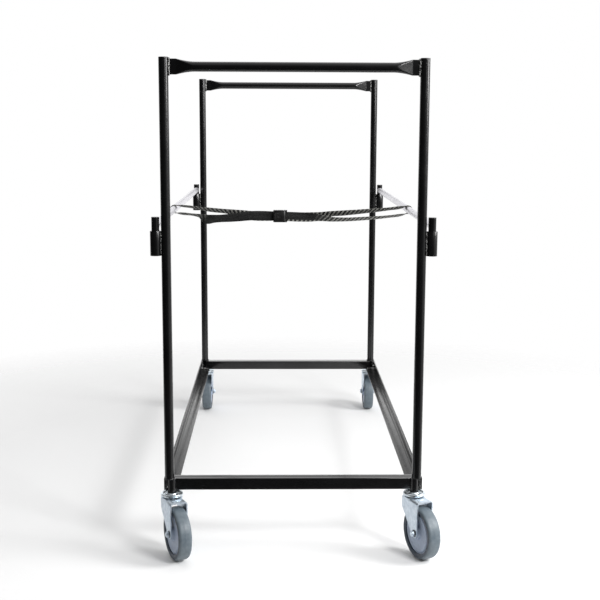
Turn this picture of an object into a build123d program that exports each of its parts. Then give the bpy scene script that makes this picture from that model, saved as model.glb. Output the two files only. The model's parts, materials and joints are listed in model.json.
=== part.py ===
from build123d import *
from math import cos, radians, sin
import os

# Wheeled stand that carries rolled or folded studio backgrounds: a welded black tube
# frame on four swivel casters, two lift-out aluminium side rails at mid height, and a
# cam-buckle strap looped round both rails. Millimetres. The origin is on the floor
# under the middle of the frame: +Z up, +X to the right, -Y to the front.

# Overall sizes, from post centre to post centre and from floor to post top.
track = 580.0
wheelbase = 1300.0
total_height = 1150.0

# Posts and their push-in caps.
post_diameter = 22.0
post_wall = 2.0
cap_lip = 2.0
cap_plug_length = 12.0

# Crossbars: round tube whose two ends are pressed flat.
crossbar_diameter = 22.0
crossbar_wall = 2.0
crossbar_drop = 21.0
flat_height = 35.0
flat_thickness = 6.0
flat_length = 18.0
flat_taper = 45.0
cope_overlap = 1.0

# Square base rails across the front and back.
rail_size = 28.0
rail_wall = 2.0
rail_corner = 2.0
rail_face_lead = 2.5

# Side angles: a standing leg outside and a ledge inside.
angle_thickness = 3.0
angle_ledge = 30.0
angle_root = 2.0
angle_stand_off = 2.0

# Threaded bosses between the frame corners and the casters.
boss_diameter = 20.0
boss_inset = 5.0
boss_drop = 6.0
stem_diameter = 12.0
stem_length = 25.0

# Casters.
wheel_diameter = 125.0
tyre_width = 32.0
tyre_crown = 7.0
tyre_depth = 13.5
core_face_width = 27.0
core_hub_radius = 15.0
core_rim_width = 22.0
core_rim_depth = 3.0
core_bevel = 1.0
tyre_bead_bevel = 1.0
tyre_bead_height = 2.0
hub_side_gap = 0.5
caster_trail = 38.0
front_swivel_angle = 23.5
wheel_top_gap = 12.0
wheel_side_gap = 2.0
fork_plate = 3.0
fork_back = 20.0
fork_nose = 13.0
fork_shoulder_radius = 24.5
fork_bend = 7.0
fork_eye_radius = 11.0
fork_eye_angle = 205.0
fork_waist_drop = 13.0
axle_diameter = 8.0
axle_nut_width = 13.0
axle_nut_height = 6.5
axle_head_height = 5.5
axle_end = 2.0
sleeve_wall = 1.0
running_clearance = 0.05
head_radius = 26.0
head_plate = 4.9
head_edge = 2.5
head_skirt_wall = 2.5
head_skirt_drop = 1.6
ball_diameter = 5.0
ball_circle_radius = 18.5
ball_count = 14
ball_clearance = 0.1
kingpin_diameter = 15.9
kingpin_flange_radius = 12.0
kingpin_flange = 2.7
kingpin_gap = 0.3

# Rail sockets and the lift-out side rails.
socket_height = 525.0
socket_length = 56.0
socket_wall = 3.0
socket_floor = 4.0
socket_drain = 6.0
weld_width = 8.0
weld_margin = 4.0
pin_diameter = 18.0
pin_wall = 2.0
pin_clearance = 0.5
pin_edge = 1.0
pin_stand_out = 32.0
seat_gap = 0.3
tube_diameter = 18.0
tube_wall = 2.0
tube_drop = 19.0
spigot_length = 40.0
rivet_diameter = 4.8
rivet_head_radius = 4.0
rivet_head = 1.2
rivet_from_end = 20.0

# Strap and cam buckle.
strap_width = 25.0
strap_thickness = 2.0
strap_from_front = 465.0
strap_sag = 18.0
loop_reach = 105.0
loop_gap = 0.3
crotch_length = 6.0
crotch_radius = 0.2
buckle_offset = -30.0
buckle_length = 37.0
buckle_side_gap = 1.5
buckle_plate = 2.0
buckle_depth = 12.0
buckle_pin_diameter = 4.0
buckle_pin_offset = 9.0
cam_radius = 4.7
cam_gap = 0.3
lever_length = 27.0
lever_plate = 2.5
lever_side_gap = 0.5

# Places that follow from the sizes above.
wheel_radius = wheel_diameter / 2
crown_bottom = wheel_diameter + wheel_top_gap
crown_top = crown_bottom + fork_plate
caster_height = crown_top + ball_diameter + ball_clearance + head_plate
fork_width = tyre_width + 2 * wheel_side_gap + 2 * fork_plate
fork_reach = caster_trail + fork_nose
fork_waist_height = wheel_diameter - fork_waist_drop
socket_diameter = pin_diameter + 2 * pin_clearance + 2 * socket_wall
buckle_height = strap_width + 2 * buckle_side_gap + 2 * buckle_plate
rail_bottom = caster_height + boss_drop
rail_top = rail_bottom + rail_size
post_x = track / 2
post_y = wheelbase / 2
post_radius = post_diameter / 2
boss_x = post_x - boss_inset
rail_centre_y = post_y + rail_face_lead - rail_size / 2
rail_inner_face_y = rail_centre_y - rail_size / 2
leg_outer_x = post_x + post_radius + angle_stand_off
leg_inner_x = leg_outer_x - angle_thickness
socket_x = post_x + post_radius + socket_diameter / 2
socket_bottom = rail_top + socket_height
socket_top = socket_bottom + socket_length
pin_top = socket_top + pin_stand_out
tube_height = pin_top - tube_drop
tube_end_y = post_y - pin_diameter / 2
strap_y = -post_y + strap_from_front
strap_height = tube_height - strap_sag
loop_end_x = socket_x - loop_reach

corners = {
    "front_left": (-1, -1),
    "front_right": (1, -1),
    "rear_left": (-1, 1),
    "rear_right": (1, 1),
}


def save(piece, name):
    piece.part.label = name
    export_step(piece.part, f"parts/{name}.step")


def level(x, y, z):
    """A horizontal plane at a point, its x to the right and its y to the back."""
    return Plane(origin=(x, y, z), x_dir=(1, 0, 0), z_dir=(0, 0, 1))


def facing_side(x, y, z):
    """An upright plane that faces right, its x to the back and its y up."""
    return Plane(origin=(x, y, z), x_dir=(0, 1, 0), z_dir=(1, 0, 0))


def facing_front(x, y, z):
    """An upright plane that faces the front, its x to the right and its y up."""
    return Plane(origin=(x, y, z), x_dir=(1, 0, 0), z_dir=(0, -1, 0))


# Welded frame


def make_post(name, x, y):
    with BuildPart() as post:
        with BuildSketch(level(x, y, rail_top)):
            Circle(post_radius)
            Circle(post_radius - post_wall, mode=Mode.SUBTRACT)
        extrude(amount=total_height - cap_lip - rail_top)
    save(post, name)


def make_post_caps():
    """Four domed plugs, one pushed into the top of each post."""
    with BuildPart() as caps:
        for side, end in corners.values():
            with BuildSketch(level(side * post_x, end * post_y, total_height - cap_lip)):
                Circle(post_radius)
            extrude(amount=cap_lip)
            with BuildSketch(level(side * post_x, end * post_y, total_height - cap_lip)):
                Circle(post_radius - post_wall)
            extrude(amount=-cap_plug_length)
        rims = caps.faces().filter_by(Axis.Z).group_by(Axis.Z)[-1].edges()
        fillet(rims, cap_lip / 2)
    save(caps, "post_caps")


def crossbar_section(share, inset):
    """Half depth and half height of the bar where it is pressed by this share."""
    pressed = share * share * (3 - 2 * share)
    bar_radius = crossbar_diameter / 2
    half_depth = bar_radius + pressed * (flat_thickness / 2 - bar_radius)
    half_height = bar_radius + pressed * (flat_height / 2 - bar_radius)
    return half_depth - inset, half_height - inset


def make_crossbar(name, y):
    """A tube between two posts, pressed flat and coped round the post at each end."""
    height = total_height - crossbar_drop
    taper_start = post_x - post_radius - flat_length - flat_taper
    post_edge = (post_radius**2 - (flat_thickness / 2) ** 2) ** 0.5
    flat_end = post_x - post_edge + cope_overlap
    shares = (0, 0.25, 0.5, 0.75, 1)
    layers = ((0, Mode.ADD), (crossbar_wall, Mode.SUBTRACT))
    with BuildPart() as bar:
        for inset, mode in layers:
            with BuildSketch(facing_side(-taper_start, y, height)):
                Circle(crossbar_diameter / 2 - inset)
            extrude(amount=2 * taper_start, mode=mode)
            for side in (-1, 1):
                for share in shares:
                    x = side * (taper_start + share * flat_taper)
                    with BuildSketch(facing_side(x, y, height)):
                        Ellipse(*crossbar_section(share, inset))
                loft(mode=mode)
        for side in (-1, 1):
            flat_start = taper_start + flat_taper
            with BuildSketch(facing_side(side * flat_start, y, height)):
                Ellipse(*crossbar_section(1, 0))
            extrude(amount=side * (flat_end - flat_start))
            with BuildSketch(level(side * post_x, y, height - flat_height)):
                Circle(post_radius)
            extrude(amount=2 * flat_height, mode=Mode.SUBTRACT)
    save(bar, name)


def make_base_rail(name, end):
    """A square tube between two bosses, its ends coped round them."""
    with BuildPart() as rail:
        with BuildSketch(facing_side(-boss_x, end * rail_centre_y, rail_bottom + rail_size / 2)):
            RectangleRounded(rail_size, rail_size, rail_corner)
            inside = rail_size - 2 * rail_wall
            Rectangle(inside, inside, mode=Mode.SUBTRACT)
        extrude(amount=2 * boss_x)
        for side in (-1, 1):
            with BuildSketch(level(side * boss_x, end * post_y, rail_bottom)):
                Circle(boss_diameter / 2)
            extrude(amount=rail_size, mode=Mode.SUBTRACT)
    save(rail, name)


def make_side_angle(name, side):
    """An angle section front to back as two solids, so that each collides as itself.

    The standing leg runs the whole length. The ledge, which has the root's fillet, is cut
    back to fit between the base rails.
    """
    end_y = post_y + rail_face_lead
    with BuildPart() as leg:
        with BuildSketch(facing_front(side * leg_outer_x, 0, rail_bottom)):
            with Locations((-side * angle_thickness / 2, rail_size / 2)):
                Rectangle(angle_thickness, rail_size)
        extrude(amount=end_y, both=True)
    with BuildPart() as ledge:
        with BuildSketch(facing_front(side * leg_inner_x, 0, rail_bottom)):
            with Locations((-side * (angle_ledge - angle_thickness) / 2, angle_thickness / 2)):
                Rectangle(angle_ledge - angle_thickness, angle_thickness)
            with Locations((-side * angle_root / 2, angle_thickness + angle_root / 2)):
                Rectangle(angle_root, angle_root)
            with Locations((-side * angle_root, angle_thickness + angle_root)):
                Circle(angle_root, mode=Mode.SUBTRACT)
        extrude(amount=rail_inner_face_y, both=True)
    angle = Compound(label=name, children=[leg.part, ledge.part])
    export_step(angle, f"parts/{name}.step")


def make_bosses():
    """Four round bosses under the posts, each drilled from below for a caster stem."""
    with BuildPart() as bosses:
        for side, end in corners.values():
            with BuildSketch(level(side * boss_x, end * post_y, caster_height)):
                Circle(boss_diameter / 2)
            extrude(amount=rail_top - caster_height)
            with BuildSketch(level(side * boss_x, end * post_y, caster_height)):
                Circle(stem_diameter / 2)
            extrude(amount=stem_length, mode=Mode.SUBTRACT)
    save(bosses, "caster_bosses")


def make_socket(name, side, end):
    """A blind upright sleeve with a drain hole, and the weld that holds it to its post."""
    x = side * socket_x
    y = end * post_y
    with BuildPart() as socket:
        with BuildSketch(level(x, y, socket_bottom)):
            Circle(socket_diameter / 2)
        extrude(amount=socket_length)
        weld_x = side * (socket_x - socket_diameter / 4 - post_radius / 2)
        weld_span = socket_diameter / 2 + post_radius
        with BuildSketch(level(weld_x, y, socket_bottom + weld_margin)):
            Rectangle(weld_span, weld_width)
        extrude(amount=socket_length - 2 * weld_margin)
        with BuildSketch(level(side * post_x, y, socket_bottom)):
            Circle(post_radius)
        extrude(amount=socket_length, mode=Mode.SUBTRACT)
        with BuildSketch(level(x, y, socket_bottom + socket_floor)):
            Circle(pin_diameter / 2 + pin_clearance)
        extrude(amount=socket_length, mode=Mode.SUBTRACT)
        with BuildSketch(level(x, y, socket_bottom)):
            Circle(socket_drain / 2)
        extrude(amount=socket_floor, mode=Mode.SUBTRACT)
    save(socket, name)


# Lift-out side rails


def make_rail_pin(name, side, end):
    """An upright tube, closed on top, with a level spigot that enters the rail tube."""
    x = side * socket_x
    y = end * post_y
    bottom = socket_bottom + socket_floor + seat_gap
    with BuildPart() as pin:
        with BuildSketch(level(x, y, bottom)):
            Circle(pin_diameter / 2)
        extrude(amount=pin_top - bottom)
        with BuildSketch(facing_front(x, end * (tube_end_y - spigot_length), tube_height)):
            Circle(tube_diameter / 2 - tube_wall)
        extrude(amount=-end * (spigot_length + pin_diameter / 2))
        with BuildSketch(level(x, y, bottom)):
            Circle(pin_diameter / 2 - pin_wall)
        extrude(amount=pin_top - bottom - pin_wall, mode=Mode.SUBTRACT)
        with BuildSketch(level(x, end * (tube_end_y - rivet_from_end), tube_height)):
            Circle(rivet_diameter / 2)
        extrude(amount=-tube_diameter, mode=Mode.SUBTRACT)
        fillet(pin.faces().sort_by(Axis.Z)[-1].edges(), pin_edge)
    save(pin, name)


def make_rail_tube(name, side):
    with BuildPart() as tube:
        with BuildSketch(facing_front(side * socket_x, 0, tube_height)):
            Circle(tube_diameter / 2)
            Circle(tube_diameter / 2 - tube_wall, mode=Mode.SUBTRACT)
        extrude(amount=tube_end_y, both=True)
        for end in (-1, 1):
            rivet_y = end * (tube_end_y - rivet_from_end)
            with BuildSketch(level(side * socket_x, rivet_y, tube_height)):
                Circle(rivet_diameter / 2)
            extrude(amount=-tube_diameter, mode=Mode.SUBTRACT)
    save(tube, name)


def make_rail_rivets(name, side):
    """The two rivets that hold a rail tube on its spigots, set from below."""
    head_top = tube_height - tube_diameter / 2
    with BuildPart() as rivets:
        for end in (-1, 1):
            rivet_y = end * (tube_end_y - rivet_from_end)
            with BuildSketch(level(side * socket_x, rivet_y, head_top - rivet_head)):
                Circle(rivet_head_radius)
            extrude(amount=rivet_head)
            with BuildSketch(level(side * socket_x, rivet_y, head_top)):
                Circle(rivet_diameter / 2)
            extrude(amount=tube_diameter / 2)
        fillet(rivets.faces().group_by(Axis.Z)[0].edges(), rivet_head / 2)
        with BuildSketch(facing_front(side * socket_x, 0, tube_height)):
            Circle(tube_diameter / 2)
        extrude(amount=tube_end_y, both=True, mode=Mode.INTERSECT)
    save(rivets, name)


# Strap and cam buckle


def make_strap_loop(name, side):
    """The end of the strap: round one rail tube and back to where its runs meet."""
    tube_radius = tube_diameter / 2
    with BuildPart() as loop:
        with BuildSketch(facing_front(0, strap_y, 0)):
            with Locations((side * socket_x, tube_height)):
                Circle(tube_radius + strap_thickness)
            with Locations((side * loop_end_x, strap_height)):
                Circle(strap_thickness)
            make_hull()
        extrude(amount=strap_width / 2, both=True)
        with BuildSketch(facing_front(0, strap_y, 0)):
            with Locations((side * socket_x, tube_height)):
                Circle(tube_radius)
            with Locations((side * (loop_end_x + crotch_length), strap_height)):
                Circle(crotch_radius)
            make_hull()
        extrude(amount=strap_width / 2, both=True, mode=Mode.SUBTRACT)
        trim_x = side * (loop_end_x - strap_width / 2)
        with BuildSketch(level(trim_x, strap_y, strap_height - strap_width)):
            Rectangle(strap_width, 2 * strap_width)
        extrude(amount=2 * strap_width, mode=Mode.SUBTRACT)
    save(loop, name)


def make_strap_middle():
    """Both runs of the strap between the loops, lying together on edge."""
    with BuildPart() as middle:
        with BuildSketch(facing_front(0, strap_y, strap_height)):
            Rectangle(2 * (loop_end_x - loop_gap), strap_width)
        extrude(amount=strap_thickness, both=True)
    save(middle, "strap_middle")


def buckle_pin_y():
    return strap_y - strap_thickness - cam_gap - cam_radius


def make_buckle_frame():
    """A back plate behind the strap and two cheeks that carry the lever's pin."""
    back_y = strap_y + strap_thickness
    cheek_reach = buckle_plate + buckle_depth
    with BuildPart() as frame:
        with BuildSketch(level(buckle_offset, back_y, strap_height - buckle_height / 2)):
            with Locations((0, buckle_plate / 2)):
                Rectangle(buckle_length, buckle_plate)
        extrude(amount=buckle_height)
        for side in (-1, 1):
            cheek_z = strap_height + side * buckle_height / 2
            with BuildSketch(level(buckle_offset, back_y, cheek_z)):
                with Locations((0, buckle_plate - cheek_reach / 2)):
                    Rectangle(buckle_length, cheek_reach)
            extrude(amount=-side * buckle_plate)
        front_edges = frame.edges().filter_by(Axis.Z).group_by(Axis.Y)[0]
        chamfer(front_edges, buckle_depth / 3)
        pin_x = buckle_offset + buckle_pin_offset
        with BuildSketch(level(pin_x, buckle_pin_y(), strap_height - buckle_height / 2)):
            Circle(buckle_pin_diameter / 2)
        extrude(amount=buckle_height, mode=Mode.SUBTRACT)
    save(frame, "buckle_frame")


def make_buckle_pin():
    with BuildPart() as pin:
        pin_x = buckle_offset + buckle_pin_offset
        with BuildSketch(level(pin_x, buckle_pin_y(), strap_height - buckle_height / 2)):
            Circle(buckle_pin_diameter / 2)
        extrude(amount=buckle_height)
    save(pin, "buckle_pin")


def make_buckle_lever():
    """A cam barrel on the pin, and the thumb plate that runs left from its front."""
    pin_x = buckle_offset + buckle_pin_offset
    pin_y = buckle_pin_y()
    inside = buckle_height - 2 * buckle_plate - 2 * lever_side_gap
    bottom = strap_height - inside / 2
    with BuildPart() as lever:
        with BuildSketch(level(pin_x, pin_y, bottom)):
            Circle(cam_radius)
            with Locations((-lever_length / 2, lever_plate / 2 - cam_radius)):
                Rectangle(lever_length, lever_plate)
            Circle(buckle_pin_diameter / 2 + running_clearance, mode=Mode.SUBTRACT)
        extrude(amount=inside)
        tip_edges = lever.edges().filter_by(Axis.Y).group_by(Axis.X)[0]
        fillet(tip_edges, inside / 4)
    save(lever, "buckle_lever")


# Casters


def caster_seat(side, end):
    """The floor plane under a swivel axis, its -y along the trail."""
    turn = radians(front_swivel_angle if end < 0 else 180)
    ahead = (cos(turn), sin(turn), 0)
    return Plane(origin=(side * boss_x, end * post_y, 0), x_dir=ahead, z_dir=(0, 0, 1))


def side_of(seat, across=0.0):
    """An upright plane along the trail: x forward along the trail, y up."""
    origin = seat.from_local_coords(Vector(across, 0, 0))
    return Plane(origin=origin, x_dir=-seat.y_dir, z_dir=-seat.x_dir)


def front_of(seat, ahead=0.0, up=0.0):
    """An upright plane across the trail: x along the axle, y up."""
    origin = seat.from_local_coords(Vector(0, -ahead, up))
    return Plane(origin=origin, x_dir=seat.x_dir, z_dir=-seat.y_dir)


def make_caster_head(name, seat):
    """The fixed half of the swivel: stem, ball cap with skirt, and riveted kingpin."""
    cap_bottom = caster_height - head_plate
    skirt_bottom = cap_bottom - head_skirt_drop
    flange_top = crown_bottom - kingpin_gap
    with BuildPart() as head:
        with BuildSketch(front_of(seat)):
            with BuildLine():
                Polyline(
                    (0, caster_height + stem_length),
                    (stem_diameter / 2, caster_height + stem_length),
                    (stem_diameter / 2, caster_height),
                    (head_radius - head_edge, caster_height),
                )
                RadiusArc(
                    (head_radius - head_edge, caster_height),
                    (head_radius, caster_height - head_edge),
                    head_edge,
                )
                Polyline(
                    (head_radius, caster_height - head_edge),
                    (head_radius, skirt_bottom),
                    (head_radius - head_skirt_wall, skirt_bottom),
                    (head_radius - head_skirt_wall, cap_bottom),
                    (kingpin_diameter / 2, cap_bottom),
                    (kingpin_diameter / 2, flange_top),
                    (kingpin_flange_radius, flange_top),
                    (kingpin_flange_radius, flange_top - kingpin_flange),
                    (0, flange_top - kingpin_flange),
                    (0, caster_height + stem_length),
                )
            make_face()
        revolve(axis=Axis(seat.origin, (0, 0, 1)))
    save(head, name)


def make_swivel_balls(name, seat):
    """A ring of balls that rolls on the fork's crown, just under the cap."""
    with BuildPart(seat.offset(crown_top + ball_diameter / 2)) as balls:
        with PolarLocations(ball_circle_radius, ball_count):
            Sphere(ball_diameter / 2)
    save(balls, name)


def make_fork(name, seat):
    """A pressed channel: crown over the wheel, two tapering legs, and axle holes."""
    leg_low = wheel_radius - fork_eye_radius
    inner_width = fork_width - 2 * fork_plate
    slant = radians(fork_eye_angle)
    slant_x = caster_trail + fork_eye_radius * cos(slant)
    slant_z = wheel_radius + fork_eye_radius * sin(slant)
    with BuildPart() as fork:
        with BuildSketch(front_of(seat, -fork_back, crown_top)):
            with Locations((0, (leg_low - crown_top) / 2)):
                Rectangle(fork_width, crown_top - leg_low)
            fillet(vertices().group_by(Axis.Y)[-1], fork_bend)
            with BuildSketch(mode=Mode.SUBTRACT):
                with Locations((0, (leg_low - crown_top - fork_plate) / 2)):
                    Rectangle(inner_width, crown_top - leg_low - fork_plate)
                fillet(vertices().group_by(Axis.Y)[-1], fork_bend - fork_plate)
        extrude(amount=fork_back + fork_reach)
        with BuildSketch(side_of(seat)):
            with BuildLine():
                Polyline(
                    (-fork_back, crown_top),
                    (fork_reach, crown_top),
                    (caster_trail + fork_eye_radius, wheel_radius),
                    (caster_trail, wheel_radius),
                    (slant_x, slant_z),
                    (-fork_back, fork_waist_height),
                    (-fork_back, crown_top),
                )
            make_face()
            with Locations((caster_trail, wheel_radius)):
                Circle(fork_eye_radius)
                Circle(axle_diameter / 2, mode=Mode.SUBTRACT)
        extrude(amount=fork_width, both=True, mode=Mode.INTERSECT)
        with BuildSketch(seat.offset(crown_bottom)):
            Circle(fork_shoulder_radius)
        extrude(amount=fork_plate)
        with BuildSketch(seat.offset(crown_bottom)):
            Circle(kingpin_diameter / 2 + running_clearance)
        extrude(amount=fork_plate, mode=Mode.SUBTRACT)
    save(fork, name)


def make_axle(name, seat):
    """A hexagon bolt through both fork legs, and its nut, as two solids."""
    half_width = fork_width / 2
    shank_length = fork_width + axle_nut_height + axle_end
    centre = (caster_trail, wheel_radius)
    with BuildPart() as bolt:
        with BuildSketch(side_of(seat, half_width)):
            with Locations(centre):
                RegularPolygon(axle_nut_width / 2, 6, major_radius=False)
        extrude(amount=-axle_head_height)
        with BuildSketch(side_of(seat, half_width)):
            with Locations(centre):
                Circle(axle_diameter / 2)
        extrude(amount=shank_length)
    with BuildPart() as nut:
        with BuildSketch(side_of(seat, -half_width)):
            with Locations(centre):
                RegularPolygon(axle_nut_width / 2, 6, major_radius=False)
                Circle(axle_diameter / 2, mode=Mode.SUBTRACT)
        extrude(amount=axle_nut_height)
    axle = Compound(label=name, children=[bolt.part, nut.part])
    export_step(axle, f"parts/{name}.step")


def make_axle_sleeve(name, seat):
    """The spacer on which the wheel turns, clamped between the fork legs."""
    with BuildPart() as sleeve:
        with BuildSketch(side_of(seat)):
            with Locations((caster_trail, wheel_radius)):
                Circle(axle_diameter / 2 + sleeve_wall)
                Circle(axle_diameter / 2, mode=Mode.SUBTRACT)
        extrude(amount=fork_width / 2 - fork_plate, both=True)
    save(sleeve, name)


def wheel_axis(seat):
    centre = seat.from_local_coords(Vector(0, -caster_trail, wheel_radius))
    return Axis(centre, seat.x_dir)


def make_wheel_core(name, seat):
    """Moulded hub and disc, bored to run on the sleeve, with a rim under the tyre."""
    bore = axle_diameter / 2 + sleeve_wall + running_clearance
    hub_half = fork_width / 2 - fork_plate - hub_side_gap
    face_half = core_face_width / 2
    rim_half = core_rim_width / 2
    rim_radius = wheel_radius - tyre_depth
    face_radius = rim_radius - core_rim_depth
    with BuildPart() as core:
        with BuildSketch(front_of(seat, caster_trail, wheel_radius)):
            with BuildLine():
                Polyline(
                    (-hub_half, bore),
                    (-hub_half, core_hub_radius - core_bevel),
                    (core_bevel - hub_half, core_hub_radius),
                    (-face_half, core_hub_radius),
                    (-face_half, face_radius - core_bevel),
                    (core_bevel - face_half, face_radius),
                    (-rim_half, face_radius),
                    (-rim_half, rim_radius),
                    (rim_half, rim_radius),
                    (rim_half, face_radius),
                    (face_half - core_bevel, face_radius),
                    (face_half, face_radius - core_bevel),
                    (face_half, core_hub_radius),
                    (hub_half - core_bevel, core_hub_radius),
                    (hub_half, core_hub_radius - core_bevel),
                    (hub_half, bore),
                    (-hub_half, bore),
                )
            make_face()
        revolve(axis=wheel_axis(seat))
    save(core, name)


def make_tyre(name, seat):
    """A solid rubber ring with a rounded tread."""
    half_width = tyre_width / 2
    rim_radius = wheel_radius - tyre_depth
    shoulder = wheel_radius - tyre_crown
    with BuildPart() as tyre:
        with BuildSketch(front_of(seat, caster_trail, wheel_radius)):
            with BuildLine():
                Polyline(
                    (-half_width, shoulder),
                    (-half_width, rim_radius + tyre_bead_height),
                    (tyre_bead_bevel - half_width, rim_radius),
                    (half_width - tyre_bead_bevel, rim_radius),
                    (half_width, rim_radius + tyre_bead_height),
                    (half_width, shoulder),
                )
                ThreePointArc(
                    (-half_width, shoulder), (0, wheel_radius), (half_width, shoulder)
                )
            make_face()
        revolve(axis=wheel_axis(seat))
    save(tyre, name)


def main():
    os.makedirs("parts", exist_ok=True)
    for corner, (side, end) in corners.items():
        make_post(f"post_{corner}", side * post_x, end * post_y)
        make_socket(f"rail_socket_{corner}", side, end)
        make_rail_pin(f"rail_pin_{corner}", side, end)
        seat = caster_seat(side, end)
        make_caster_head(f"caster_head_{corner}", seat)
        make_swivel_balls(f"swivel_balls_{corner}", seat)
        make_fork(f"caster_fork_{corner}", seat)
        make_axle(f"axle_{corner}", seat)
        make_axle_sleeve(f"axle_sleeve_{corner}", seat)
        make_wheel_core(f"wheel_core_{corner}", seat)
        make_tyre(f"tyre_{corner}", seat)
    for place, end in (("front", -1), ("rear", 1)):
        make_crossbar(f"crossbar_{place}", end * post_y)
        make_base_rail(f"base_rail_{place}", end)
    for place, side in (("left", -1), ("right", 1)):
        make_side_angle(f"side_angle_{place}", side)
        make_rail_tube(f"rail_tube_{place}", side)
        make_rail_rivets(f"rail_rivets_{place}", side)
        make_strap_loop(f"strap_loop_{place}", side)
    make_post_caps()
    make_bosses()
    make_strap_middle()
    make_buckle_frame()
    make_buckle_pin()
    make_buckle_lever()


main()
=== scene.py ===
"""Looks of a wheeled stand that carries rolled and folded studio backgrounds.

The welded frame, the two lift-out side rails, the strap with its cam buckle and the four
swivel casters are each a class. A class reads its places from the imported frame, builds the
meshes that the frame lacks, and dresses every piece in a finish. Metres throughout.
"""

import json
import logging
import math
from dataclasses import dataclass, field
from enum import Enum
from functools import cache

import bmesh
import bpy
import numpy as np
from mathutils import Matrix, Vector


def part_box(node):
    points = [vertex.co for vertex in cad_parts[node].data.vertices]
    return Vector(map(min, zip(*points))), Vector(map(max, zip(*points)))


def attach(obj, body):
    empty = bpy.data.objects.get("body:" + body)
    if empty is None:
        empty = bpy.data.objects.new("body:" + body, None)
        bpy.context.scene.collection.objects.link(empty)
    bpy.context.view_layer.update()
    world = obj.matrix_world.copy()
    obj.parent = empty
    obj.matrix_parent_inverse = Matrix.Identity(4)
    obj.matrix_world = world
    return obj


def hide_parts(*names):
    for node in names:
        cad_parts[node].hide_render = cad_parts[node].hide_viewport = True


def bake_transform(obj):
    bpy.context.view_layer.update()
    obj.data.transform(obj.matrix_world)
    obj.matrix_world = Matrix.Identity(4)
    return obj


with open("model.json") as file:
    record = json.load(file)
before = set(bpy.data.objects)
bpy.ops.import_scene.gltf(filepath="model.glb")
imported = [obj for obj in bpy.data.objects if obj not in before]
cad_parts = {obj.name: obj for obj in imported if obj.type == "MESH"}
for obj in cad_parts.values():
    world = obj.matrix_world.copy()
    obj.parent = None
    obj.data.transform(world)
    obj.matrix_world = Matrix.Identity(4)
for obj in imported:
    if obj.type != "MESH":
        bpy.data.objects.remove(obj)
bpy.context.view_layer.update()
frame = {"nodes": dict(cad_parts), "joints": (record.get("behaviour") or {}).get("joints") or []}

log = logging.getLogger("stand")
Array = np.ndarray
MM = 0.001
JOINTS = {joint["name"]: joint for joint in frame["joints"]}
UP = np.array((0.0, 0.0, 1.0))
SHARP = math.radians(35)  # an edge of a CAD node that turns more than this is eased


# Places read from the frame


@dataclass(frozen=True)
class Extent:
    """The box of one CAD node.

    Args:
        low: The lowest corner.
        high: The highest corner.
    """

    low: Array
    high: Array

    @property
    def centre(self) -> Array:
        """The middle of the box."""
        return (self.low + self.high) / 2

    @property
    def size(self) -> Array:
        """The box's three sides."""
        return self.high - self.low


@cache
def extent(node: str) -> Extent:
    """Measures a CAD node.

    Args:
        node: The node's name.

    Returns:
        Its box at rest.
    """
    low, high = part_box(node)
    return Extent(np.array(low), np.array(high))


class Corner(Enum):
    """A corner of the stand: its sideways sign and its front-to-back sign."""

    FRONT_LEFT = (-1, -1)
    FRONT_RIGHT = (1, -1)
    REAR_LEFT = (-1, 1)
    REAR_RIGHT = (1, 1)

    @property
    def label(self) -> str:
        """The corner's name inside node and body names."""
        return self.name.lower()

    @property
    def side(self) -> int:
        """Minus one on the left, one on the right."""
        return self.value[0]

    @property
    def end(self) -> int:
        """Minus one at the front, one at the rear."""
        return self.value[1]


class Side(Enum):
    """The left or the right of the stand."""

    LEFT = -1
    RIGHT = 1

    @property
    def label(self) -> str:
        """The side's name inside node and body names."""
        return self.name.lower()


# Shader bench and finishes


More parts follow.
